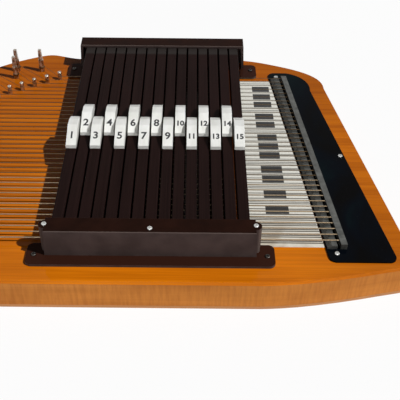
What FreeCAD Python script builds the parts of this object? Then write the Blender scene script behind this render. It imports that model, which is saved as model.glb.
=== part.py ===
import FreeCAD, Part
import math
import os

# Chorded zither: a flat wooden box with 36 strings, lying on its back.
# Layout frame, in mm: X runs along the strings from the tuning pins to the string anchor,
# Y runs from the bass edge to the treble edge, Z is 0 on the top of the soundboard.
# save() moves every piece so that the origin is at the bottom centre of the whole object.

V = FreeCAD.Vector

# ---- strings ----
STRING_COUNT = 36
STRING_PITCH = 6.75
TREBLE_Y = 117.75           # first, shortest string
THIN_RADIUS = 0.2           # treble string
THICK_RADIUS = 0.6          # wound bass string
SADDLE_Z = 4.8              # underside of every string
NOTES = ("C B A# A G# G F# F E D# D C# C B A# A G# G F# F E D# D C# C B A# A G F# F E D C G F").split()
FIRST_WOUND = 24
BASS_Y = TREBLE_Y - STRING_PITCH * (STRING_COUNT - 1)

# ---- bridge pins and tuning pins, along a bending line ----
PIN_STEP = 12.4             # X step between the first two bridge pins
PIN_BEND = 0.175            # how fast the step shrinks towards the bass
BRIDGE_PIN_R = 2.0
BRIDGE_PIN_TOP = 9.6
TUNING_PIN_R = 2.5
TUNING_PIN_TOP = 25.5
PIN_SINK = 16.0             # depth of a pin in the wood
NEAR_ROW = (11.0, 24.0)     # tuning pin from its bridge pin: along the line, outwards
FAR_ROW = (19.0, 36.0)
WRAP_GAP = 0.1              # string to pin
JOIN = 0.03                 # a bend or coil is this much fatter than its string

# ---- box ----
BODY_DEPTH = 31.5
TOP_PLATE = 4.0
BACK_PLATE = 3.0
EDGE_ROUND = 3.4
BASS_MARGIN = 41.5          # last string to the bass edge
TREBLE_MARGIN = 49.5        # first string to the horn
RAIL = 16.0
BLOCK_LAP = 14.0            # wood beyond the bridge pins and before the bridge
SOUND_HOLE_R = 26.0
SOUND_HOLE = (-108.0, -35.0)
BRACE_WIDTH = 10.0
BRACE_HEIGHT = 14.0
BRACE_X = (30.0, 130.0)

# ---- bridge, anchor and plate ----
BRIDGE_SLANT = 0.117        # X gained per mm towards the bass
BRIDGE_WIDTH = 7.8
BRIDGE_GAP = 2.6
BRIDGE_RAMP = 3.4           # width of the sloped left side
TREBLE_REACH = 2.5          # bridge beyond the first string
BASS_REACH = 6.0            # bridge beyond the last string
PLATE_LAP = 1.0             # plate seen left of the bridge
ANCHOR_WIDTH = 5.2
ANCHOR_TOP = 6.6
PLATE_THICK = 1.2
PLATE_ROUND = 6.0
RIB_DEPTH = 0.5
CARD_THICK = 0.4
CARD_X = 161.0
CARD_MARGIN = 3.2
CARD_GAP = 0.6              # card to the comb, the cover and the bridge

# ---- chord bars ----
BAR_COUNT = 15
BAR_PITCH = 10.55
BAR_WIDTH = 9.0
BAR_CENTRE_X = 87.4
BAR_BOTTOM = 14.0
BAR_TRAVEL = 3.2
PRESS_GAP = 0.4             # pressed felt above the thickest string
BRIDGE_ROOM = 47.875        # bars to the bridge, at Y = 0
PIN_ROOM = 26.575           # bars to the first bridge pin
FELT_STRIP = 1.4
FELT_WIDTH = 7.0
FELT_NOTCH = 2.3            # half width of a notch over a free string
FELT_END = 1.6              # felt beyond the outer strings
SLOT_CLEAR = 0.3            # bar to each slot wall
END_CLEAR = 0.3
LIFT_CLEAR = 0.4            # bar top to the cover
BAR_ROUND = 0.6
CHORDS = ("A# maj", "A min", "F maj", "E min", "C maj", "G dom", "G maj", "D dom", "D maj",
          "A dom", "A maj", "E dom", "B min", "F# min", "C# min")
SCALE = "C C# D D# E F F# G G# A A# B".split()
STEPS = {"maj": (0, 4, 7), "min": (0, 3, 7), "dom": (0, 4, 7, 10)}

# ---- buttons ----
BUTTON_LENGTH = 40.5
BUTTON_WIDTH = 9.0
BUTTON_RIDGE = 10.5
BUTTON_FRONT = 3.4
BUTTON_BACK = 5.2
BUTTON_CREST = 0.9          # rounding over the ridge
BUTTON_EDGE = 0.35
FRONT_ROW_Y = -28.0
BACK_ROW_Y = -9.0

# ---- covers and combs ----
COVER_TOP = 28.5
COVER_WALL = 2.6
COVER_DEPTH = 16.4
END_ROOM = 0.775            # bars to the end walls of the bass cover
EAR_REACH = 12.6            # ear beyond the end of a cover
BASS_COVER_GAP = 0.5        # last string to the bass cover
TREBLE_COVER_GAP = 23.25    # first string to the treble cover
COVER_DRAFT = 1.5           # wider by this at each end of the foot
COVER_ROUND = 0.9
FOOT_THICK = 2.5
LIP = 10.0
EAR_DEPTH = 23.5
EAR_ROUND = 5.0
BACK_EAR_SHIFT = 10.4       # the treble ears start this far in from the outer face
BOSS_R = 4.6
COMB_WALL = 3.9
COMB_FLOOR = 2.5
SPRING_R = 2.9
SPRING_WIRE = 0.4
SPRING_TURNS = 5
SPRING_CLEAR = 0.2

# ---- screws ----
HEAD_R = 2.1
HEAD_H = 1.1
SHANK_R = 1.3
SHANK_LENGTH = 13.0
SHORT_SHANK = 9.0
RECESS = 0.6


# ---- worked out from the sizes above ----
BAR_HALF = BAR_COUNT * BAR_PITCH / 2
BRIDGE_X = BAR_CENTRE_X + BAR_HALF + BRIDGE_ROOM
PIN_START_X = BAR_CENTRE_X - BAR_HALF - PIN_ROOM
COVER_WIDTH = 2 * (BAR_HALF + END_ROOM + COVER_WALL)
BACK_COVER_WIDTH = COVER_WIDTH + 4
FOOT_WIDTH = BACK_COVER_WIDTH + 2 * (COVER_DRAFT + EAR_REACH)
FRONT_COVER_Y = BASS_Y - COVER_DEPTH - BASS_COVER_GAP
BACK_COVER_Y = TREBLE_Y + COVER_DEPTH + TREBLE_COVER_GAP
COVER_UNDER = COVER_TOP - COVER_WALL
BAR_TOP = COVER_UNDER - LIFT_CLEAR
FELT_BOTTOM = SADDLE_Z + 2 * THICK_RADIUS + PRESS_GAP + BAR_TRAVEL


def string_y(k):
    return TREBLE_Y - STRING_PITCH * k


def string_r(k):
    return THIN_RADIUS + (THICK_RADIUS - THIN_RADIUS) * k / (STRING_COUNT - 1)


def pin_x(k):
    return PIN_START_X - PIN_STEP * k + PIN_BEND * k * k


def pin_frame(k):
    """Bridge pin centre, the line's direction there, and its outward normal."""
    wrap = BRIDGE_PIN_R + string_r(k) + WRAP_GAP
    centre = V(pin_x(k), string_y(k) + wrap, 0)
    along = V(-PIN_STEP + 2 * PIN_BEND * k, -STRING_PITCH, 0).normalize()
    return centre, along, V(along.y, -along.x, 0)


def tuning_pin(k):
    centre, along, out = pin_frame(k)
    shift, reach = FAR_ROW if k % 2 else NEAR_ROW
    return centre + along * shift + out * reach


def bridge_x(y):
    return BRIDGE_X - BRIDGE_SLANT * y


def slab(face, low, high):
    face.translate(V(0, 0, low))
    return face.extrude(V(0, 0, high - low))


def polygon(points):
    return Part.Face(Part.makePolygon([V(*p, 0) for p in points] + [V(*points[0], 0)]))


def rounded(x0, x1, y0, y1, low, high, radius):
    box = Part.makeBox(x1 - x0, y1 - y0, high - low, V(x0, y0, low))
    upright = [e for e in box.Edges if abs(e.tangentAt(e.FirstParameter).z) > 0.9]
    return box.makeFillet(radius, upright)


def spline(points):
    curve = Part.BSplineCurve()
    curve.interpolate([V(*p, 0) for p in points])
    return curve.toShape()


def rod(start, end, radius):
    run = end - start
    return Part.makeCylinder(radius, run.Length, start, run)


# ---------------------------------------------------------------- outline of the box
def outline():
    """The box seen from above: a horned treble edge, a slanted end and a straight bass edge."""
    bass = BASS_Y - BASS_MARGIN
    horn = TREBLE_Y + TREBLE_MARGIN
    left = tuning_pin(STRING_COUNT - 1).x - 14
    cover_start = BAR_CENTRE_X - BACK_COVER_WIDTH / 2
    cover_end = BAR_CENTRE_X + BACK_COVER_WIDTH / 2
    top_right = (bridge_x(0) + 40, horn - 60)
    low_right = (bridge_x(0) + 83, bass + 27)
    flank = [tuning_pin(k) + pin_frame(k)[2] * 13 for k in (5, 13, 21, 29)]
    treble = [(left, BASS_Y + 4)] + [(p.x, p.y) for p in reversed(flank)] + [
        (PIN_START_X - 52, horn - 15), (PIN_START_X - 28, horn - 3.5), (PIN_START_X - 15, horn),
        (PIN_START_X, horn - 3.4), (cover_start - 12, horn - 6), (cover_start + 26, horn - 6.2),
        (BAR_CENTRE_X, horn - 5.2), (cover_end - 26, horn - 5.8), (cover_end + 8, horn - 8.7),
        (cover_end + 38, horn - 18), (cover_end + 63, horn - 29.5), (cover_end + 77, horn - 41.5),
        top_right]
    corner = (left + 26, bass)
    edges = [spline(treble),
             Part.LineSegment(V(*top_right, 0), V(*low_right, 0)).toShape(),
             spline([low_right, (low_right[0] - 3.5, bass + 20.5), (low_right[0] - 13, bass + 17.3),
                     (low_right[0] - 40, bass + 11.4), (low_right[0] - 65, bass + 6.5),
                     (low_right[0] - 90, bass + 2.6), (low_right[0] - 122, bass)]),
             Part.LineSegment(V(low_right[0] - 122, bass, 0), V(*corner, 0)).toShape(),
             spline([corner, (left + 8, bass + 9), (left, BASS_Y + 4)])]
    return Part.Face(Part.Wire(edges))


def cavity():
    """The air space: inside the rails, the pin block and the anchor block."""
    bass = BASS_Y - BASS_MARGIN + RAIL
    treble = TREBLE_Y + TREBLE_MARGIN - RAIL - 9
    inner = []
    for k in (STRING_COUNT - 1, 29, 22, 15, 8):
        centre, _, out = pin_frame(k)
        point = centre - out * BLOCK_LAP
        inner.append((point.x, point.y))
    start = (inner[0][0], bass)
    top_left = (PIN_START_X + 14, treble)
    right = [(bridge_x(treble) - BLOCK_LAP, treble), (bridge_x(bass) - BLOCK_LAP, bass)]
    path = [spline([start] + inner + [top_left]),
            Part.LineSegment(V(*top_left, 0), V(*right[0], 0)).toShape(),
            Part.LineSegment(V(*right[0], 0), V(*right[1], 0)).toShape(),
            Part.LineSegment(V(*right[1], 0), V(*start, 0)).toShape()]
    return Part.Face(Part.Wire(path))


def make_blocks():
    """Pin block, anchor block and two rails: one ring cut at four straight joints."""
    low = BACK_PLATE - BODY_DEPTH
    ring = slab(outline(), low, -TOP_PLATE).cut(slab(cavity(), low - 1, 1))
    far = 900
    left_foot = pin_x(STRING_COUNT - 1) + 6
    left_top = PIN_START_X + 8
    right_foot = bridge_x(BASS_Y) - BLOCK_LAP
    right_top = bridge_x(TREBLE_Y) - BLOCK_LAP
    middle = (BAR_CENTRE_X, 0)
    rays = {"left_foot": (left_foot, -far), "left_top": (left_top, far),
            "right_foot": (right_foot, -far), "right_top": (right_top, far)}
    regions = {
        "pin_block": [(left_foot, BASS_Y), rays["left_foot"], (-far, -far), (-far, far),
                      rays["left_top"], (left_top, TREBLE_Y)],
        "anchor_block": [(right_foot, BASS_Y), rays["right_foot"], (far, -far), (far, far),
                         rays["right_top"], (right_top, TREBLE_Y)],
        "bass_rail": [middle, (left_foot, BASS_Y), rays["left_foot"], rays["right_foot"],
                      (right_foot, BASS_Y)],
        "treble_rail": [middle, (left_top, TREBLE_Y), rays["left_top"], rays["right_top"],
                        (right_top, TREBLE_Y)]}
    return {name: ring.common(slab(polygon(points), low, -TOP_PLATE)) for name, points in regions.items()}


def round_rim(board, rim):
    """The widest rounding up to EDGE_ROUND that the outline's tightest corner allows."""
    for step in range(12):
        try:
            soft = board.makeFillet(EDGE_ROUND * (1 - 0.05 * step), rim)
        except Part.OCCError:
            continue
        if soft.isValid():
            return soft
    return board


def make_soundboard():
    board = slab(outline(), -TOP_PLATE, 0)
    rim = [e for e in board.Edges if abs(e.BoundBox.ZMin) < 1e-6 and abs(e.BoundBox.ZMax) < 1e-6]
    board = round_rim(board, rim)
    hole = Part.makeCylinder(SOUND_HOLE_R, TOP_PLATE + 2, V(*SOUND_HOLE, -TOP_PLATE - 1))
    return board.cut(hole)


def make_braces():
    low = BASS_Y - BASS_MARGIN + RAIL
    high = TREBLE_Y + TREBLE_MARGIN - RAIL - 9
    return [Part.makeBox(BRACE_WIDTH, high - low, BRACE_HEIGHT,
                         V(x - BRACE_WIDTH / 2, low, -TOP_PLATE - BRACE_HEIGHT)) for x in BRACE_X]


# ---------------------------------------------------------------- pins and strings
def bridge_pin(k):
    centre = pin_frame(k)[0]
    pin = Part.makeCylinder(BRIDGE_PIN_R, BRIDGE_PIN_TOP + PIN_SINK, centre - V(0, 0, PIN_SINK))
    top = [e for e in pin.Edges if abs(e.BoundBox.ZMin - BRIDGE_PIN_TOP) < 1e-6]
    return pin.makeFillet(BRIDGE_PIN_R * 0.6, top)


def square_pin(k):
    """A tuning pin: a round shank with a tapered square head for the key."""
    centre = tuning_pin(k)
    shoulder = TUNING_PIN_TOP * 0.55
    shank = Part.makeCylinder(TUNING_PIN_R, shoulder + PIN_SINK, centre - V(0, 0, PIN_SINK))
    half = [TUNING_PIN_R * 0.72, TUNING_PIN_R * 0.6]
    wires = []
    for side, z in zip(half, (shoulder, TUNING_PIN_TOP)):
        wires.append(Part.makePolygon([centre + V(a * side, b * side, z) for a, b in
                                       ((-1, -1), (1, -1), (1, 1), (-1, 1), (-1, -1))]))
    head = Part.makeLoft(wires, True, True)
    return shank.fuse(head).removeSplitter()


def zither_string(k):
    """From the anchor over the bridge, round its bridge pin, and three turns on its tuning pin."""
    r = string_r(k)
    z = SADDLE_Z + r
    y = string_y(k)
    centre, _, out = pin_frame(k)
    goal = tuning_pin(k) + V(0, 0, z)
    away = goal - V(centre.x, y, z)
    turn = math.atan2(away.y, -away.x)
    bend = V(centre.x - (centre.y - y) * math.tan(turn / 2), y, z)
    end = V(bridge_x(y) + BRIDGE_WIDTH + BRIDGE_GAP + ANCHOR_WIDTH * 0.6, y, z)
    ring = TUNING_PIN_R + WRAP_GAP + r
    reach = goal - bend
    side = math.asin(ring / reach.Length)
    heading = math.atan2(reach.y, reach.x) - side
    length = math.sqrt(reach.Length ** 2 - ring ** 2)
    touch = bend + V(math.cos(heading), math.sin(heading), 0) * length
    coil = Part.makeCylinder(ring + r + JOIN, 6 * r, goal - V(0, 0, 3 * r))
    coil = coil.cut(Part.makeCylinder(ring - r - JOIN, 6 * r, goal - V(0, 0, 3 * r)))
    return rod(end, bend, r).multiFuse([Part.makeSphere(r + JOIN, bend), rod(bend, touch, r), coil])


# ---------------------------------------------------------------- bridge end
def band(left, width, low, high):
    """A slanted bar whose left face runs beside the bridge line."""
    top, foot = TREBLE_Y + TREBLE_REACH, BASS_Y - BASS_REACH
    return slab(polygon([(bridge_x(top) + left, top), (bridge_x(top) + left + width, top),
                         (bridge_x(foot) + left + width, foot), (bridge_x(foot) + left, foot)]), low, high)


def make_bridge():
    """A metal bar sloped on its left side, with a shallow groove between neighbouring strings."""
    bar = band(0, BRIDGE_WIDTH, PLATE_THICK, SADDLE_Z)
    top, foot = TREBLE_Y + TREBLE_REACH, BASS_Y - BASS_REACH
    section = [(0, PLATE_THICK + 0.6), (BRIDGE_RAMP, SADDLE_Z), (BRIDGE_RAMP, SADDLE_Z + 2),
               (-2, SADDLE_Z + 2), (-2, PLATE_THICK + 0.6)]
    wedge = Part.Face(Part.makePolygon([V(bridge_x(foot) + x, foot, z) for x, z in section + section[:1]]))
    bar = bar.cut(wedge.extrude(V(bridge_x(top) - bridge_x(foot), top - foot, 0)))
    cuts = []
    for k in range(STRING_COUNT - 1):
        y = string_y(k) - STRING_PITCH / 2
        cuts.append(Part.makeBox(BRIDGE_WIDTH * 3, STRING_PITCH * 0.4, RIB_DEPTH * 2,
                                 V(bridge_x(y) - BRIDGE_WIDTH, y - STRING_PITCH * 0.2, SADDLE_Z - RIB_DEPTH)))
    return bar.cut(Part.makeCompound(cuts))


def make_anchor():
    """The metal bar that holds the looped string ends, bored for each string."""
    left = BRIDGE_WIDTH + BRIDGE_GAP
    bar = band(left, ANCHOR_WIDTH, PLATE_THICK, ANCHOR_TOP)
    bores = []
    for k in range(STRING_COUNT):
        y = string_y(k)
        x = bridge_x(y) + left
        bores.append(Part.makeCylinder(string_r(k) + WRAP_GAP, ANCHOR_WIDTH * 0.6 + 2,
                                       V(x - 2, y, SADDLE_Z + string_r(k)), V(1, 0, 0)))
    return bar.cut(Part.makeCompound(bores))


def plate_ends():
    return TREBLE_Y + 16, BASS_Y - 20


def make_plate():
    """A thin plate under the bridge, wide at the bass end, its upper outer corner a broad curve."""
    top, foot = plate_ends()
    shoulder = V(bridge_x(0) + 2.4, top, 0)
    hip = V(bridge_x(0) + 25.2, top - 32, 0)
    heel = V(bridge_x(0) + 69.6, foot, 0)
    low = V(bridge_x(foot) - PLATE_LAP, foot, 0)
    high = V(bridge_x(top) - PLATE_LAP, top, 0)
    path = [Part.makeLine(high, shoulder), Part.Arc(shoulder, V(bridge_x(0) + 17.4, top - 8.2, 0), hip).toShape(),
            Part.makeLine(hip, heel), Part.makeLine(heel, low), Part.makeLine(low, high)]
    flat = slab(Part.Face(Part.Wire(path)), 0, PLATE_THICK)
    corners = [e for e in flat.Edges if abs(e.tangentAt(e.FirstParameter).z) > 0.9
               and min((V(e.BoundBox.XMin, e.BoundBox.YMin, 0) - p).Length for p in (high, heel, low)) < 1]
    return flat.makeFillet(PLATE_ROUND, corners)


def make_card():
    top = TREBLE_Y + CARD_MARGIN / 2
    foot = BASS_Y - CARD_MARGIN
    inner = FRONT_COVER_Y + COVER_DEPTH + CARD_GAP
    side = BAR_CENTRE_X + COVER_WIDTH / 2 + COVER_DRAFT + CARD_GAP
    gap = CARD_GAP + PLATE_LAP
    return slab(polygon([(CARD_X, inner), (side, inner), (side, foot), (bridge_x(foot) - gap, foot),
                         (bridge_x(top) - gap, top), (CARD_X, top)]), 0, CARD_THICK)


# ---------------------------------------------------------------- chord bars
def bar_x(n):
    return BAR_CENTRE_X + (n - (BAR_COUNT - 1) / 2) * BAR_PITCH


def bar_span():
    return FRONT_COVER_Y + COVER_WALL + COMB_WALL, BACK_COVER_Y - COVER_WALL - COMB_WALL


def make_bar(n):
    """A bar, and under it a felt strip notched over each string of its chord."""
    low, high = bar_span()
    low, high = low + END_CLEAR, high - END_CLEAR
    x = bar_x(n)
    bar = Part.makeBox(BAR_WIDTH, high - low, BAR_TOP - BAR_BOTTOM, V(x - BAR_WIDTH / 2, low, BAR_BOTTOM))
    top = [e for e in bar.Edges if e.BoundBox.ZMin > BAR_TOP - 0.01 and e.BoundBox.YLength > 9]
    bar = bar.makeFillet(BAR_ROUND, top)
    root, kind = CHORDS[n % len(CHORDS)].split()
    chord = [SCALE[(SCALE.index(root) + s) % 12] for s in STEPS[kind]]
    felt = Part.makeBox(FELT_WIDTH, TREBLE_Y - BASS_Y + 2 * FELT_END, BAR_BOTTOM - FELT_BOTTOM,
                        V(x - FELT_WIDTH / 2, BASS_Y - FELT_END, FELT_BOTTOM))
    notches = [Part.makeBox(FELT_WIDTH + 2, 2 * FELT_NOTCH, BAR_BOTTOM - FELT_STRIP - FELT_BOTTOM + 1,
                            V(x - FELT_WIDTH / 2 - 1, string_y(k) - FELT_NOTCH, FELT_BOTTOM - 1))
               for k in range(STRING_COUNT) if NOTES[k] in chord]
    return [bar, felt.cut(Part.makeCompound(notches))]


def make_button(n):
    """A long key: low at the front, a rounded ridge in the middle, lower again behind."""
    start = BACK_ROW_Y if n % 2 else FRONT_ROW_Y
    x = bar_x(n) - BUTTON_WIDTH / 2
    end = start + BUTTON_LENGTH
    ridge = start + BUTTON_LENGTH * 0.52
    points = [(start, 0), (start, BUTTON_FRONT), (ridge, BUTTON_RIDGE), (end - 9, BUTTON_RIDGE - 1.2),
              (end, BUTTON_BACK), (end, 0)]
    face = Part.Face(Part.makePolygon([V(x, y, BAR_TOP + z) for y, z in points + points[:1]]))
    key = face.extrude(V(BUTTON_WIDTH, 0, 0))
    crest = [e for e in key.Edges if e.BoundBox.XLength > 1 and e.BoundBox.ZMin > BAR_TOP + BUTTON_RIDGE - 2]
    key = key.makeFillet(BUTTON_CREST, crest)
    rims = [e for e in key.Edges if e.BoundBox.XLength < 0.01 and e.BoundBox.ZMin > BAR_TOP + 0.5
            and e.BoundBox.YLength > 0.5]
    return key.makeFillet(BUTTON_EDGE, rims)


# ---------------------------------------------------------------- covers, combs, springs
def ear_screws(outer):
    """Screw places on the two ears of one cover; outer is +1 on the treble side."""
    if outer > 0:
        y = BACK_COVER_Y - BACK_EAR_SHIFT - EAR_DEPTH / 2 + 1
    else:
        y = FRONT_COVER_Y - LIP + EAR_DEPTH / 2 - 1
    reach = FOOT_WIDTH / 2 - EAR_ROUND - 1
    return [V(BAR_CENTRE_X - reach, y, 0), V(BAR_CENTRE_X + reach, y, 0)]


def top_screws():
    """Screw places on top of the bass cover: one at each end boss, one in the middle."""
    half = COVER_WIDTH / 2
    end_y = FRONT_COVER_Y + 8.5
    return [V(BAR_CENTRE_X - half, end_y, 0), V(BAR_CENTRE_X + half, end_y, 0),
            V(BAR_CENTRE_X, FRONT_COVER_Y + COVER_WALL + COMB_WALL / 2, 0)]


def trapezoid(half, base, top, y, depth, draft):
    cx = BAR_CENTRE_X
    face = Part.Face(Part.makePolygon([V(cx + a, y, z) for a, z in (
        (-half - draft, base), (half + draft, base), (half, top), (-half, top), (-half - draft, base))]))
    return face.extrude(V(0, depth, 0))


def make_cover(outer):
    """A shell over one end of the bars: top, outer face, two ends, and a foot with two ears."""
    half = (BACK_COVER_WIDTH if outer > 0 else COVER_WIDTH) / 2
    face_y = BACK_COVER_Y if outer > 0 else FRONT_COVER_Y
    near = face_y - COVER_DEPTH if outer > 0 else face_y
    shell = trapezoid(half, 0, COVER_TOP, near, COVER_DEPTH, COVER_DRAFT)
    rim = [e for e in shell.Edges if e.BoundBox.ZMin > COVER_TOP - 0.01]
    shell = shell.makeFillet(COVER_ROUND, rim)
    shift = -COVER_WALL if outer > 0 else COVER_WALL
    hollow = trapezoid(half - COVER_WALL, -1, COVER_UNDER, near + shift, COVER_DEPTH, COVER_DRAFT)
    x0, x1 = BAR_CENTRE_X - FOOT_WIDTH / 2, BAR_CENTRE_X + FOOT_WIDTH / 2
    if outer > 0:
        ear_high = face_y - BACK_EAR_SHIFT
        foot = rounded(x0, x1, ear_high - EAR_DEPTH, ear_high, 0, FOOT_THICK, EAR_ROUND)
        solid = shell.fuse(foot)
    else:
        lip_y = face_y - LIP
        foot = rounded(x0, x1, lip_y, lip_y + EAR_DEPTH, 0, FOOT_THICK, EAR_ROUND)
        bosses = [Part.makeCylinder(BOSS_R, COVER_TOP, V(p.x, p.y, 0)) for p in top_screws()[:2]]
        solid = shell.multiFuse([foot] + bosses)
    clear = Part.makeBox(2 * half, 40, COVER_UNDER + 1,
                         V(BAR_CENTRE_X - half, face_y + (-COVER_WALL - 40 if outer > 0 else COVER_WALL), -1))
    inside = hollow.common(clear)
    throat = Part.makeBox(2 * half - 2 * COVER_WALL, 60, FOOT_THICK + 2,
                          V(BAR_CENTRE_X - half + COVER_WALL,
                            face_y + (-COVER_WALL - 60 if outer > 0 else COVER_WALL), -1))
    return solid.cut(inside).cut(throat).removeSplitter()


def make_comb(outer):
    """The slotted block that guides one end of every bar."""
    half = BAR_HALF + (BAR_PITCH - BAR_WIDTH) / 2 - SLOT_CLEAR
    depth = COVER_DEPTH - COVER_WALL - 0.4
    face_y = BACK_COVER_Y - COVER_WALL if outer > 0 else FRONT_COVER_Y + COVER_WALL
    low = face_y - depth if outer > 0 else face_y
    block = Part.makeBox(2 * half, depth, COVER_UNDER, V(BAR_CENTRE_X - half, low, 0))
    slot_low = low - 1 if outer > 0 else low + COMB_WALL
    width = BAR_WIDTH + 2 * SLOT_CLEAR
    slots = [Part.makeBox(width, depth - COMB_WALL + 1, COVER_UNDER,
                          V(bar_x(n) - width / 2, slot_low, COMB_FLOOR)) for n in range(BAR_COUNT)]
    return block.cut(Part.makeCompound(slots))


def spring_y(outer):
    middle = (COVER_DEPTH - COVER_WALL - 0.4 + COMB_WALL) / 2 + COVER_WALL
    return BACK_COVER_Y - middle if outer > 0 else FRONT_COVER_Y + middle


def make_spring(n, outer):
    """A coil spring at its pressed length, standing on the comb's floor."""
    height = BAR_BOTTOM - BAR_TRAVEL - COMB_FLOOR - 2 * SPRING_WIRE - SPRING_CLEAR
    place = V(bar_x(n), spring_y(outer), COMB_FLOOR + SPRING_WIRE)
    helix = Part.makeHelix(height / SPRING_TURNS, height, SPRING_R)
    wire = Part.Wire(helix.Edges)
    section = Part.Wire([Part.makeCircle(SPRING_WIRE, V(SPRING_R, 0, 0), V(0, 1, 0))])
    spring = wire.makePipeShell([section], True, True)
    spring.translate(place)
    return spring


# ---------------------------------------------------------------- screws
def make_screw(place, seat, length):
    """A domed screw with a crossed recess; its head sits at height seat."""
    head = Part.makeCylinder(HEAD_R, HEAD_H, V(place.x, place.y, seat))
    brim = [e for e in head.Edges if abs(e.BoundBox.ZMin - seat - HEAD_H) < 1e-6]
    head = head.makeFillet(HEAD_H * 0.7, brim)
    shank = Part.makeCylinder(SHANK_R, length, V(place.x, place.y, seat - length))
    screw = head.fuse(shank)
    for long_x, long_y in ((HEAD_R * 1.1, RECESS), (RECESS, HEAD_R * 1.1)):
        screw = screw.cut(Part.makeBox(long_x, long_y, HEAD_H,
                                       V(place.x - long_x / 2, place.y - long_y / 2, seat + HEAD_H - RECESS)))
    return screw


def bore(place, seat, length):
    return Part.makeCylinder(SHANK_R, length, V(place.x, place.y, seat - length))


def plate_screws():
    """Two beyond the bridge's ends and one at the plate's outer edge."""
    top = TREBLE_Y + TREBLE_REACH + 5.4
    foot = BASS_Y - BASS_REACH - 5
    return [V(bridge_x(top) + 6.8, top, 0), V(bridge_x(foot) + 6.4, foot, 0), V(bridge_x(0) + 41.2, -5, 0)]


# ---------------------------------------------------------------- assembly
def build():
    pieces = {"soundboard": make_soundboard(), "back_plate": slab(outline(), -BODY_DEPTH, BACK_PLATE - BODY_DEPTH)}
    pieces.update(make_blocks())
    pieces["soundboard_braces"] = make_braces()
    pieces["note_card"] = make_card()
    pieces["anchor_plate"] = make_plate()
    pieces["string_bridge"] = make_bridge()
    pieces["string_anchor"] = make_anchor()
    pieces["bass_cover"] = make_cover(-1)
    pieces["treble_cover"] = make_cover(1)
    pieces["bass_comb"] = make_comb(-1)
    pieces["treble_comb"] = make_comb(1)
    pieces["bass_springs"] = [make_spring(n, -1) for n in range(BAR_COUNT)]
    pieces["treble_springs"] = [make_spring(n, 1) for n in range(BAR_COUNT)]

    # Pins stand in bores through the soundboard into the pin block.
    pins = [bridge_pin(k) for k in range(STRING_COUNT)]
    keys = [square_pin(k) for k in range(STRING_COUNT)]
    holes = [Part.makeCylinder(BRIDGE_PIN_R, PIN_SINK, pin_frame(k)[0] - V(0, 0, PIN_SINK))
             for k in range(STRING_COUNT)]
    holes += [Part.makeCylinder(TUNING_PIN_R, PIN_SINK, tuning_pin(k) - V(0, 0, PIN_SINK))
              for k in range(STRING_COUNT)]
    holes = Part.makeCompound(holes)
    pieces["soundboard"] = pieces["soundboard"].cut(holes)
    pieces["pin_block"] = pieces["pin_block"].cut(holes)
    pieces["bridge_pins"] = pins
    pieces["tuning_pins"] = keys
    strings = [zither_string(k) for k in range(STRING_COUNT)]
    pieces["plain_strings"] = strings[:FIRST_WOUND]
    pieces["wound_strings"] = strings[FIRST_WOUND:]

    # Screws and their bores.
    ears = ear_screws(-1) + ear_screws(1)
    ear_bores = Part.makeCompound([bore(p, FOOT_THICK, SHANK_LENGTH) for p in ears])
    tops = top_screws()
    top_bores = Part.makeCompound([bore(p, COVER_TOP, SHORT_SHANK) for p in tops])
    anchors = plate_screws()
    plate_bores = Part.makeCompound([bore(p, PLATE_THICK, SHANK_LENGTH) for p in anchors])
    for name in ("soundboard", "bass_cover", "treble_cover", "bass_rail", "treble_rail",
                 "pin_block", "anchor_block"):
        pieces[name] = pieces[name].cut(ear_bores)
    for name in ("bass_cover", "bass_comb"):
        pieces[name] = pieces[name].cut(top_bores)
    for name in ("soundboard", "anchor_plate", "anchor_block"):
        pieces[name] = pieces[name].cut(plate_bores)
    pieces["cover_screws"] = [make_screw(p, FOOT_THICK, SHANK_LENGTH) for p in ears]
    pieces["comb_screws"] = [make_screw(p, COVER_TOP, SHORT_SHANK) for p in tops]
    pieces["plate_screws"] = [make_screw(p, PLATE_THICK, SHANK_LENGTH) for p in anchors]

    for n in range(BAR_COUNT):
        pieces["chord_bar_%02d" % (n + 1)] = make_bar(n)
        pieces["bar_button_%02d" % (n + 1)] = make_button(n)
    return pieces


def save(pieces):
    box = outline().optimalBoundingBox(False, False)
    shift = V(-(box.XMin + box.XMax) / 2, -(box.YMin + box.YMax) / 2, BODY_DEPTH)
    os.makedirs("parts", exist_ok=True)
    for name, shape in pieces.items():
        solids = []
        for item in (shape if isinstance(shape, list) else [shape]):
            solids += item.Solids
        whole = solids[0] if len(solids) == 1 else Part.makeCompound(solids)
        whole.translate(shift)
        whole.exportStep("parts/%s.step" % name)
        print(name, len(solids), "solids", "valid" if whole.isValid() else "INVALID",
              "%.1f mm3" % whole.Volume)
    print("shift", shift, "size", box.XLength, box.YLength)


save(build())
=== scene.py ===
import math
import bpy
import bmesh
from mathutils import Matrix, Vector


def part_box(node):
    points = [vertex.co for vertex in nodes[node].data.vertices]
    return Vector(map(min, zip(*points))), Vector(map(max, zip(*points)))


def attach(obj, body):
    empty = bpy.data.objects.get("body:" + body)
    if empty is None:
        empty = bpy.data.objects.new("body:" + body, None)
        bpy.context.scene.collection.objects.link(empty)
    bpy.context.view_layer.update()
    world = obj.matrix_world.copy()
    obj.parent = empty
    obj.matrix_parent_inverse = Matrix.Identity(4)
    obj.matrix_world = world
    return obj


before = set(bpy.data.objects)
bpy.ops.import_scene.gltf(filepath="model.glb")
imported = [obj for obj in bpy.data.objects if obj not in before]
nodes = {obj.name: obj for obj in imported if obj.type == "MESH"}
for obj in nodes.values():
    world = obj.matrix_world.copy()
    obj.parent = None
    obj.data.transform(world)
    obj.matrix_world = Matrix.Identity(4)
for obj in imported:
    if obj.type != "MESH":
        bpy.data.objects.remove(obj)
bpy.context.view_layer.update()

MM = 0.001
BODY = "zither_body"
BARS = ["%02d" % n for n in range(1, 16)]

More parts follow.
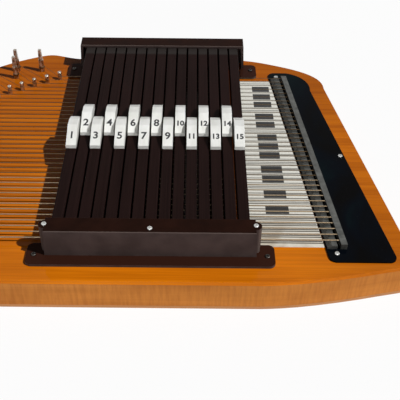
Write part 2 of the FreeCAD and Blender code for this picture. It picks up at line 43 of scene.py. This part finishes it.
# ------------------------------------------------------------------ places taken from the frame
board_low, board_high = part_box("soundboard")
board_top = board_high.z
card_low, card_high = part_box("note_card")
bridge_low, bridge_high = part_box("string_bridge")
last_bar_low, last_bar_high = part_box("chord_bar_15")
string_pitch = 6.75 * MM
string_count = 36
treble_string_y = bridge_high.y - 2.5 * MM
bridge_slant = 0.117
# The printed keyboard. A growth is added in full at the last string.
print_thickness = 0.06 * MM
key_start, key_start_growth = 14.6 * MM, 2.4 * MM
key_length, key_length_growth = 17.0 * MM, 3.2 * MM
key_width = 9.4 * MM
rule_start = 3 * MM
rule_width, bass_rule_width, key_rule_width = 0.8 * MM, 1.1 * MM, 0.5 * MM
rule_end_gap = 2 * MM
black_keys = (2, 4, 6, 9, 11, 14, 16, 18, 21, 23, 26, 29)


# ------------------------------------------------------------------ shader building
class Shader:
    """A Principled material and short ways to add the nodes that feed it."""

    def __init__(self, name, colour, roughness=0.5, metallic=0.0, specular=0.5):
        self.material = bpy.data.materials.new(name)
        self.material.use_nodes = True
        self.tree = self.material.node_tree
        self.bsdf = self.tree.nodes["Principled BSDF"]
        self.bsdf.inputs["Base Color"].default_value = (*colour, 1)
        self.bsdf.inputs["Roughness"].default_value = roughness
        self.bsdf.inputs["Metallic"].default_value = metallic
        self.bsdf.inputs["Specular IOR Level"].default_value = specular
        self.coords = self.tree.nodes.new("ShaderNodeTexCoord").outputs["Object"]

    def add(self, kind, **settings):
        node = self.tree.nodes.new("ShaderNode" + kind)
        for key, value in settings.items():
            setattr(node, key, value)
        return node

    def link(self, output, node, socket):
        self.tree.links.new(output, node.inputs[socket])

    def stretched(self, scale, turn=0.0):
        mapping = self.add("Mapping")
        mapping.inputs["Scale"].default_value = scale
        mapping.inputs["Rotation"].default_value = (0, 0, turn)
        self.link(self.coords, mapping, "Vector")
        return mapping.outputs["Vector"]

    def noise(self, scale, detail=3.0, roughness=0.5, turn=0.0, distortion=0.0):
        texture = self.add("TexNoise")
        texture.inputs["Scale"].default_value = 1.0
        texture.inputs["Detail"].default_value = detail
        texture.inputs["Roughness"].default_value = roughness
        texture.inputs["Distortion"].default_value = distortion
        self.link(self.stretched(scale, turn), texture, "Vector")
        return texture.outputs["Fac"]

    def ramp(self, factor, *stops):
        node = self.add("ValToRGB")
        stops = list(stops)
        node.color_ramp.elements[0].position, node.color_ramp.elements[0].color = stops[0][0], (*stops[0][1], 1)
        node.color_ramp.elements[1].position, node.color_ramp.elements[1].color = stops[-1][0], (*stops[-1][1], 1)
        for place, colour in stops[1:-1]:
            node.color_ramp.elements.new(place).color = (*colour, 1)
        self.link(factor, node, "Fac")
        return node.outputs["Color"]

    def mix(self, factor, first, second, blend="MIX"):
        node = self.add("Mix", data_type="RGBA", blend_type=blend)
        for value, index in ((factor, 0), (first, 6), (second, 7)):
            if isinstance(value, (int, float)):
                node.inputs[index].default_value = value
            elif isinstance(value, tuple):
                node.inputs[index].default_value = (*value, 1)
            else:
                self.tree.links.new(value, node.inputs[index])
        return node.outputs[2]

    def math(self, operation, first, second=0.0):
        node = self.add("Math", operation=operation)
        for index, value in enumerate((first, second)):
            if isinstance(value, (int, float)):
                node.inputs[index].default_value = value
            else:
                self.tree.links.new(value, node.inputs[index])
        return node.outputs[0]

    def span(self, value, low, high, out_low=0.0, out_high=1.0):
        node = self.add("MapRange")
        for index, number in enumerate((low, high, out_low, out_high), start=1):
            node.inputs[index].default_value = number
        self.link(value, node, 0)
        return node.outputs[0]

    def axis(self, name):
        split = self.add("SeparateXYZ")
        self.link(self.coords, split, 0)
        return split.outputs[name]

    def colour(self, output):
        self.link(output, self.bsdf, "Base Color")
        return self

    def rough(self, factor, low, high):
        self.link(self.span(factor, 0.3, 0.7, low, high), self.bsdf, "Roughness")
        return self

    def bump(self, height, strength, distance):
        node = self.add("Bump")
        node.inputs["Strength"].default_value = strength
        node.inputs["Distance"].default_value = distance
        self.link(height, node, "Height")
        self.link(node.outputs["Normal"], self.bsdf, "Normal")
        return self

    def coat(self, weight, roughness):
        self.bsdf.inputs["Coat Weight"].default_value = weight
        self.bsdf.inputs["Coat Roughness"].default_value = roughness
        return self


# ------------------------------------------------------------------ finishes
def amber_lacquer():
    """Straight-grained veneer along the strings, under a clear amber lacquer."""
    s = Shader("amber_lacquer", (0.62, 0.18, 0.004), 0.34, specular=0.0)
    pores = s.noise((14, 900, 900), detail=5, roughness=0.6)
    bands = s.noise((3.5, 95, 95), detail=3, distortion=0.6)
    clouds = s.noise((6, 14, 14), detail=2)
    base = s.ramp(bands, (0.30, (0.54, 0.138, 0.0022)), (0.52, (0.67, 0.180, 0.0032)), (0.75, (0.76, 0.220, 0.0048)))
    grain = s.ramp(pores, (0.34, (0.72, 0.66, 0.55)), (0.58, (1.0, 1.0, 1.0)))
    toned = s.mix(0.55, base, grain, "MULTIPLY")
    patch = s.ramp(clouds, (0.35, (0.84, 0.80, 0.74)), (0.65, (1.06, 1.04, 1.0)))
    toned = s.mix(0.6, toned, patch, "MULTIPLY")
    deeper = s.math("MAXIMUM", s.span(s.axis("Y"), -0.05, 0.12), s.span(s.axis("X"), 0.02, -0.16))
    deeper = s.math("MAXIMUM", deeper, s.span(s.axis("X"), 0.20, 0.26, 0.0, 0.6))
    toned = s.mix(deeper, toned, (0.60, 0.54, 0.48), "MULTIPLY")
    # Painted shade under the bars: the wood there is darkened, so no bright wood shows through the gaps.
    first_bar_low, first_bar_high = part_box("chord_bar_01")
    left = s.span(s.axis("X"), first_bar_low.x, first_bar_low.x + 4 * MM)
    right = s.span(s.axis("X"), last_bar_high.x - 3 * MM, last_bar_high.x - 5 * MM)
    front = s.span(s.axis("Y"), first_bar_low.y + 6 * MM, first_bar_low.y + 8 * MM)
    back = s.span(s.axis("Y"), first_bar_high.y - 6 * MM, first_bar_high.y - 8 * MM)
    painted_shade_under_bars = s.math("MULTIPLY", s.math("MULTIPLY", left, right), s.math("MULTIPLY", front, back))
    s.colour(s.mix(painted_shade_under_bars, toned, (0.10, 0.08, 0.08), "MULTIPLY"))
    s.rough(clouds, 0.28, 0.40)
    return s.bump(pores, 0.05, 0.0002).coat(0.14, 0.04).material


def amber_side():
    """The laminated sides: short upright flecks and faint level seams."""
    s = Shader("amber_side", (0.60, 0.22, 0.045), 0.42, specular=0.04)
    flecks = s.noise((420, 420, 38), detail=4, roughness=0.65)
    shades = s.noise((9, 9, 60), detail=3, distortion=0.4)
    layers = s.noise((4, 4, 420), detail=2)
    base = s.ramp(shades, (0.30, (0.43, 0.145, 0.020)), (0.70, (0.56, 0.205, 0.034)))
    toned = s.mix(0.45, base, s.ramp(flecks, (0.35, (0.70, 0.62, 0.52)), (0.60, (1.05, 1.05, 1.05))), "MULTIPLY")
    s.colour(s.mix(0.25, toned, s.ramp(layers, (0.42, (0.8, 0.76, 0.7)), (0.55, (1, 1, 1))), "MULTIPLY"))
    return s.bump(flecks, 0.08, 0.0002).coat(0.12, 0.15).material


def amber_back():
    s = Shader("amber_back", (0.42, 0.17, 0.04), 0.45)
    grain = s.noise((8, 260, 260), detail=5, distortion=0.3)
    s.colour(s.ramp(grain, (0.3, (0.34, 0.125, 0.022)), (0.7, (0.50, 0.205, 0.045))))
    return s.bump(grain, 0.08, 0.0002).coat(0.25, 0.25).material


def bare_spruce():
    s = Shader("bare_spruce", (0.62, 0.45, 0.25), 0.7)
    grain = s.noise((300, 6, 300), detail=3)
    return s.colour(s.ramp(grain, (0.35, (0.50, 0.34, 0.17)), (0.65, (0.70, 0.54, 0.33)))).material


def brown_moulding(name, top, side, roughness):
    """Dark brown plastic, with painted light: upright front faces painted paler as a painted sheen, and a painted
    highlight along the front edge.
    """
    s = Shader(name, top, roughness, specular=0.02)
    haze = s.noise((60, 60, 60), detail=4)
    fine = s.noise((1400, 1400, 1400), detail=2)
    split = s.add("SeparateXYZ")
    s.link(s.add("TexCoord").outputs["Normal"], split, 0)
    facing = split.outputs["Y"]
    # Painted sheen: faces turned to the front get the paler side colour.
    front = s.span(facing, -0.55, -0.95)
    # Painted highlight along the rounded front edge.
    edge = s.math("MULTIPLY", s.span(facing, -0.20, -0.50), s.span(facing, -0.95, -0.80))
    upper = s.ramp(haze, (0.35, tuple(c * 0.80 for c in top)), (0.65, tuple(c * 1.30 for c in top)))
    low = s.span(s.axis("Z"), board_top + 6 * MM, board_top + 3 * MM)
    upper = s.mix(low, upper, tuple(c * 2.2 for c in top))
    painted_front_sheen = s.ramp(haze, (0.35, tuple(c * 0.80 for c in side)), (0.65, tuple(c * 1.15 for c in side)))
    s.colour(s.mix(s.math("MULTIPLY", edge, 0.7), s.mix(front, upper, painted_front_sheen), (0.11, 0.085, 0.075)))
    s.rough(haze, roughness - 0.06, roughness + 0.08)
    return s.bump(fine, 0.12, 0.00005).material


def bar_plastic():
    """Satin brown bars with drawn streaks along them, paler at the treble end, and grey felt beneath."""
    s = Shader("bar_plastic", (0.026, 0.013, 0.012), 0.42, specular=0.02)
    streaks = s.noise((1300, 7, 300), detail=4, roughness=0.6)
    haze = s.noise((45, 18, 45), detail=3)
    plastic = s.ramp(streaks, (0.32, (0.0075, 0.0034, 0.0030)), (0.68, (0.0165, 0.0080, 0.0070)))
    plastic = s.mix(s.span(haze, 0.4, 0.7), plastic, (0.0150, 0.0068, 0.0060))
    far = last_bar_high.y
    patch = s.math("MULTIPLY", s.span(s.axis("Y"), far - 22.0 * MM, far - 19.5 * MM), 0.8)
    plastic = s.mix(patch, plastic, (0.030, 0.026, 0.024))
    felt_line = last_bar_low.z + 4.4 * MM
    is_felt = s.span(s.axis("Z"), felt_line - 0.02 * MM, felt_line - 0.10 * MM)
    s.colour(s.mix(is_felt, plastic, (0.075, 0.068, 0.062)))
    s.link(s.span(is_felt, 0, 1, 0.42, 0.95), s.bsdf, "Roughness")
    return s.bump(streaks, 0.08, 0.00006).material


def button_white():
    s = Shader("button_white", (0.80, 0.80, 0.76), 0.34)
    haze = s.noise((130, 40, 130), detail=4)
    grain = s.noise((900, 30, 900), detail=2)
    s.colour(s.ramp(haze, (0.30, (0.70, 0.70, 0.655)), (0.66, (0.83, 0.83, 0.80))))
    return s.bump(grain, 0.05, 0.00005).coat(0.3, 0.2).material


def card_stock():
    """Cream card, a little foxed towards the bass end, with painted shade where it lies under the bars."""
    s = Shader("card_stock", (0.76, 0.74, 0.66), 0.7)
    fibre = s.noise((700, 700, 700), detail=3)
    stain = s.noise((30, 22, 30), detail=4, distortion=0.5)
    foot = s.span(s.axis("Y"), card_low.y + 45 * MM, card_low.y + 5 * MM)
    clean = s.ramp(fibre, (0.3, (0.68, 0.665, 0.60)), (0.7, (0.78, 0.765, 0.695)))
    aged = s.ramp(stain, (0.42, (0.40, 0.30, 0.19)), (0.62, (0.74, 0.70, 0.60)))
    # Painted shade: the card is darkened where it lies under the bars.
    card_painted_shade = s.span(s.axis("X"), last_bar_high.x - 1 * MM, last_bar_high.x - 3 * MM)
    paper = s.mix(s.math("MULTIPLY", foot, 0.75), clean, aged)
    return s.colour(s.mix(card_painted_shade, paper, (0.10, 0.05, 0.02))).bump(fibre, 0.1, 0.00005).material


def black_gloss():
    """Polished black plate with fine dust, and a dark-blue painted reflection in places."""
    s = Shader("black_gloss", (0.003, 0.003, 0.004), 0.06, specular=0.02)
    # Painted reflection: a dark-blue tint in places stands in for the surroundings mirrored in the plate.
    cast = s.noise((16, 9, 16), detail=2, distortion=1.2)
    dust = s.noise((620, 620, 620), detail=3, roughness=0.7)
    painted_reflection_tint = s.ramp(cast, (0.38, (0.0020, 0.0018, 0.0020)), (0.56, (0.0015, 0.0026, 0.0048)),
                  (0.74, (0.0020, 0.0070, 0.0085)))
    s.colour(s.mix(s.span(dust, 0.66, 0.78), painted_reflection_tint, (0.02, 0.022, 0.024)))
    return s.rough(dust, 0.05, 0.16).material


def ribbed_metal(name, colour, ribs_per_m):
    """Dull cast metal with fine ribs across it, the grooves between them darkened as painted shade."""
    s = Shader(name, colour, 0.42, metallic=0.75)
    wave = s.add("TexWave", wave_type="BANDS", bands_direction="Y")
    wave.inputs["Scale"].default_value = ribs_per_m * math.tau / 20
    wave.inputs["Distortion"].default_value = 0.4
    s.link(s.coords, wave, "Vector")
    grime = s.noise((160, 160, 160), detail=4)
    base = s.ramp(grime, (0.3, tuple(c * 0.62 for c in colour)), (0.7, tuple(c * 1.15 for c in colour)))
    # Painted shade: the colour is darkened in the grooves between the ribs.
    s.colour(s.mix(0.5, base, s.ramp(wave.outputs["Fac"], (0.2, (0.45, 0.45, 0.44)), (0.6, (1, 1, 1))), "MULTIPLY"))
    s.rough(grime, 0.34, 0.55)
    return s.bump(wave.outputs["Fac"], 0.4, 0.0002).material


def worn_nickel():
    s = Shader("worn_nickel", (0.52, 0.47, 0.41), 0.30, metallic=1.0)
    tarnish = s.noise((420, 420, 300), detail=4)
    s.colour(s.ramp(tarnish, (0.35, (0.22, 0.18, 0.14)), (0.62, (0.60, 0.56, 0.50))))
    return s.rough(tarnish, 0.22, 0.45).material


def bright_steel(name, colour, roughness):
    s = Shader(name, colour, roughness, metallic=1.0)
    marks = s.noise((900, 900, 900), detail=3)
    s.colour(s.ramp(marks, (0.35, tuple(c * 0.75 for c in colour)), (0.65, colour)))
    return s.rough(marks, roughness - 0.06, roughness + 0.1).material


def wound_wire():
    """Copper-alloy wire wound round a steel core: fine turns along the string, painted darker between the turns as
    painted shade.
    """
    s = Shader("wound_wire", (0.52, 0.40, 0.26), 0.38, metallic=1.0)
    wave = s.add("TexWave", wave_type="BANDS", bands_direction="X")
    wave.inputs["Scale"].default_value = 628
    s.link(s.coords, wave, "Vector")
    # Painted shade: the colour is darker in the grooves between the turns.
    s.colour(s.ramp(wave.outputs["Fac"], (0.2, (0.20, 0.145, 0.09)), (0.7, (0.34, 0.26, 0.17))))
    return s.bump(wave.outputs["Fac"], 0.15, 0.0001).material


def ink(name, colour):
    s = Shader(name, colour, 0.5)
    fade = s.noise((800, 800, 800), detail=3)
    s.colour(s.ramp(fade, (0.35, colour), (0.8, tuple(c + 0.03 for c in colour))))
    return s.material


def dress(names, material):
    for name in names:
        mesh = nodes[name].data
        if mesh.materials:
            for index in range(len(mesh.materials)):
                mesh.materials[index] = material
        else:
            mesh.materials.append(material)


cover_finish = brown_moulding("cover_moulding", (0.0135, 0.0046, 0.0028), (0.056, 0.039, 0.036), 0.40)
comb_finish = brown_moulding("comb_moulding", (0.014, 0.007, 0.006), (0.014, 0.007, 0.006), 0.5)
dress(["soundboard"], amber_lacquer())
dress(["pin_block", "anchor_block", "bass_rail", "treble_rail"], amber_side())
dress(["back_plate"], amber_back())
dress(["soundboard_braces"], bare_spruce())
dress(["bass_cover", "treble_cover"], cover_finish)
dress(["bass_comb", "treble_comb"], comb_finish)
dress(["chord_bar_" + n for n in BARS], bar_plastic())
dress(["bar_button_" + n for n in BARS], button_white())
dress(["note_card"], card_stock())
dress(["anchor_plate"], black_gloss())
dress(["string_bridge"], ribbed_metal("bridge_metal", (0.11, 0.112, 0.105), 590))
dress(["string_anchor"], ribbed_metal("anchor_metal", (0.13, 0.132, 0.124), 590))
dress(["bridge_pins", "tuning_pins"], worn_nickel())
# The plain strings' dark brown tint is a painted reflection of the amber wood beneath them.
dress(["plain_strings"], bright_steel("string_steel_painted_reflection", (0.12, 0.078, 0.040), 0.3))
dress(["wound_strings"], wound_wire())
dress(["bass_springs", "treble_springs"], bright_steel("spring_steel", (0.5, 0.5, 0.5), 0.3))
dress(["comb_screws", "plate_screws"], bright_steel("screw_zinc", (0.74, 0.74, 0.72), 0.22))
dress(["cover_screws"], bright_steel("screw_black", (0.06, 0.055, 0.05), 0.3))


# ------------------------------------------------------------------ new pieces
def deselect():
    if bpy.context.object and bpy.context.object.mode != "OBJECT":
        bpy.ops.object.mode_set(mode="OBJECT")
    bpy.ops.object.select_all(action="DESELECT")


def settle(piece, name, material, body):
    """Puts a finished piece's place into its mesh and ties it to its body."""
    deselect()
    piece.name = name
    piece.data.name = name
    piece.select_set(True)
    bpy.context.view_layer.objects.active = piece
    bpy.ops.object.transform_apply(location=True, rotation=True, scale=True)
    piece.data.materials.clear()
    piece.data.materials.append(material)
    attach(piece, body)
    deselect()
    return piece


def join(pieces):
    deselect()
    for piece in pieces:
        piece.select_set(True)
    bpy.context.view_layer.objects.active = pieces[0]
    bpy.ops.object.join()
    return pieces[0]


def tile(centre, size, corner=0.0):
    """A thin printed patch: a flat box with its upright corners bevelled."""
    deselect()
    bpy.ops.mesh.primitive_cube_add(size=1, location=centre)
    patch = bpy.context.object
    patch.scale = size
    bpy.ops.object.transform_apply(location=False, rotation=False, scale=True)
    if corner:
        bpy.ops.object.mode_set(mode="EDIT")
        mesh = bmesh.from_edit_mesh(patch.data)
        for edge in mesh.edges:
            upright = abs(edge.verts[0].co.z - edge.verts[1].co.z) > size[2] / 2
            edge.select_set(upright)
        bmesh.update_edit_mesh(patch.data)
        bpy.ops.mesh.bevel(offset=corner, segments=2)
        bpy.ops.object.mode_set(mode="OBJECT")
    return patch


def bridge_left(y):
    """The bridge's left face at a given Y."""
    return bridge_low.x + (bridge_high.y - y) * bridge_slant


def printed_rule(start, end, y, width):
    centre = ((start + end) / 2, y, card_high.z + print_thickness / 2)
    return tile(centre, (end - start, width, print_thickness))


def make_note_print():
    """The card's keyboard: dark keys for the sharps, thin rules between the naturals."""
    left = last_bar_high.x
    keys, rules = [], []
    for k in range(string_count):
        y = treble_string_y - k * string_pitch
        share = k / (string_count - 1)
        if k in black_keys:
            start = left + key_start + key_start_growth * share
            length = key_length + key_length_growth * share
            centre = (start + length / 2, y, card_high.z + print_thickness / 2)
            keys.append(tile(centre, (length, key_width, print_thickness), 0.5 * MM))
            rules.append(printed_rule(start + length, bridge_left(y) - rule_end_gap, y, key_rule_width))
        elif k + 1 < string_count and k + 1 not in black_keys:
            edge = y - string_pitch / 2
            width = bass_rule_width if share > 0.8 else rule_width
            rules.append(printed_rule(left + rule_start, bridge_left(edge) - rule_end_gap, edge, width))
    settle(join(keys), "note_keys", ink("key_ink", (0.012, 0.012, 0.012)), BODY)
    settle(join(rules), "note_rules", ink("rule_ink", (0.030, 0.025, 0.020)), BODY)


def make_numbers():
    """A plain number on the front slope of every button."""
    black = ink("number_ink", (0.012, 0.012, 0.014))
    for index, n in enumerate(BARS):
        low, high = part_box("bar_button_" + n)
        front = low.z + 3.4 * MM
        ridge_y = low.y + (high.y - low.y) * 0.52
        slope = math.atan2(high.z - front, ridge_y - low.y)
        along = 10.5 * MM
        deselect()
        bpy.ops.object.text_add()
        label = bpy.context.object
        label.data.body = str(index + 1)
        label.data.size = (10.0 if index < 9 else 7.3) * MM
        label.data.offset = 0.28 * MM
        label.data.extrude = 0.05 * MM
        label.data.align_x = "CENTER"
        label.data.align_y = "CENTER"
        label.data.resolution_u = 3
        label.location = ((low.x + high.x) / 2, low.y + along * math.cos(slope), front + along * math.sin(slope))
        label.rotation_euler = (slope, 0, 0)
        bpy.ops.object.convert(target="MESH")
        settle(bpy.context.object, "button_number_" + n, black, "bar_" + n)


make_note_print()
make_numbers()


# ------------------------------------------------------------------ stage, light, camera
def direct_rays(tree):
    """1 for camera, mirror and glass rays, 0 for the light that falls on things."""
    path = tree.nodes.new("ShaderNodeLightPath")
    seen = path.outputs["Is Camera Ray"]
    for other in ("Is Glossy Ray", "Is Transmission Ray"):
        either = tree.nodes.new("ShaderNodeMath")
        either.operation = "MAXIMUM"
        tree.links.new(seen, either.inputs[0])
        tree.links.new(path.outputs[other], either.inputs[1])
        seen = either.outputs[0]
    return seen


def white_to_camera(material, diffuse, glow):
    """Diffuse for light; for the camera and mirrors, mostly plain white, so a shadow still shows."""
    material.use_nodes = True
    tree = material.node_tree
    tree.nodes.clear()
    out = tree.nodes.new("ShaderNodeOutputMaterial")
    matt = tree.nodes.new("ShaderNodeBsdfDiffuse")
    matt.inputs["Color"].default_value = (diffuse, diffuse, diffuse, 1)
    light = tree.nodes.new("ShaderNodeEmission")
    share = tree.nodes.new("ShaderNodeMath")
    share.operation = "MULTIPLY"
    share.inputs[1].default_value = glow
    tree.links.new(direct_rays(tree), share.inputs[0])
    mixer = tree.nodes.new("ShaderNodeMixShader")
    tree.links.new(share.outputs[0], mixer.inputs[0])
    tree.links.new(matt.outputs[0], mixer.inputs[1])
    tree.links.new(light.outputs[0], mixer.inputs[2])
    tree.links.new(mixer.outputs[0], out.inputs[0])


def make_stage():
    deselect()
    bpy.ops.mesh.primitive_plane_add(size=12, location=(0, 0, -0.0002))
    floor = bpy.context.object
    floor.name = "floor"
    material = bpy.data.materials.new("floor_white")
    white_to_camera(material, 0.9, 0.82)
    floor.data.materials.append(material)


def make_world():
    world = bpy.data.worlds.new("studio")
    bpy.context.scene.world = world
    world.use_nodes = True
    tree = world.node_tree
    tree.nodes.clear()
    out = tree.nodes.new("ShaderNodeOutputWorld")
    soft = tree.nodes.new("ShaderNodeBackground")
    soft.inputs["Strength"].default_value = 0.07
    white = tree.nodes.new("ShaderNodeBackground")
    white.inputs["Strength"].default_value = 1.0
    mixer = tree.nodes.new("ShaderNodeMixShader")
    tree.links.new(direct_rays(tree), mixer.inputs[0])
    tree.links.new(soft.outputs[0], mixer.inputs[1])
    tree.links.new(white.outputs[0], mixer.inputs[2])
    tree.links.new(mixer.outputs[0], out.inputs[0])


def make_lamp(name, travel, energy, width):
    lamp = bpy.data.lights.new(name, "SUN")
    lamp.energy = energy
    lamp.angle = math.radians(width)
    holder = bpy.data.objects.new(name, lamp)
    holder.rotation_mode = "QUATERNION"
    holder.rotation_quaternion = Vector(travel).to_track_quat("-Z", "Y")
    bpy.context.scene.collection.objects.link(holder)


def make_camera():
    """Looks down at 42 degrees across the chord bars from the bass side."""
    pitch = math.radians(42.0)
    roll = 0.0097
    data = bpy.data.cameras.new("camera")
    data.sensor_width = 36.0
    data.lens = 68.76
    data.shift_x = 0.0225
    data.clip_start = 0.01
    camera = bpy.data.objects.new("camera", data)
    middle_bar = (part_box("chord_bar_08")[0].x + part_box("chord_bar_08")[1].x) / 2
    place = Vector((middle_bar + 31.6 * MM, board_low.y - 394.4 * MM, board_top + 439.9 * MM))
    turn = Matrix.Rotation(math.pi / 2 - pitch, 4, "X") @ Matrix.Rotation(roll, 4, "Z")
    camera.matrix_world = Matrix.Translation(place) @ turn
    bpy.context.scene.collection.objects.link(camera)
    bpy.context.scene.camera = camera


make_stage()
make_world()
# A sharp key from the right and a little in front, and a soft low fill from the front.
make_lamp("key_light", (-0.78, 0.28, -1.0), 3.45, 0.7)
make_lamp("front_fill", (0.1, 1.0, -0.10), 1.0, 30)
make_camera()
bpy.context.scene.view_settings.view_transform = "Standard"
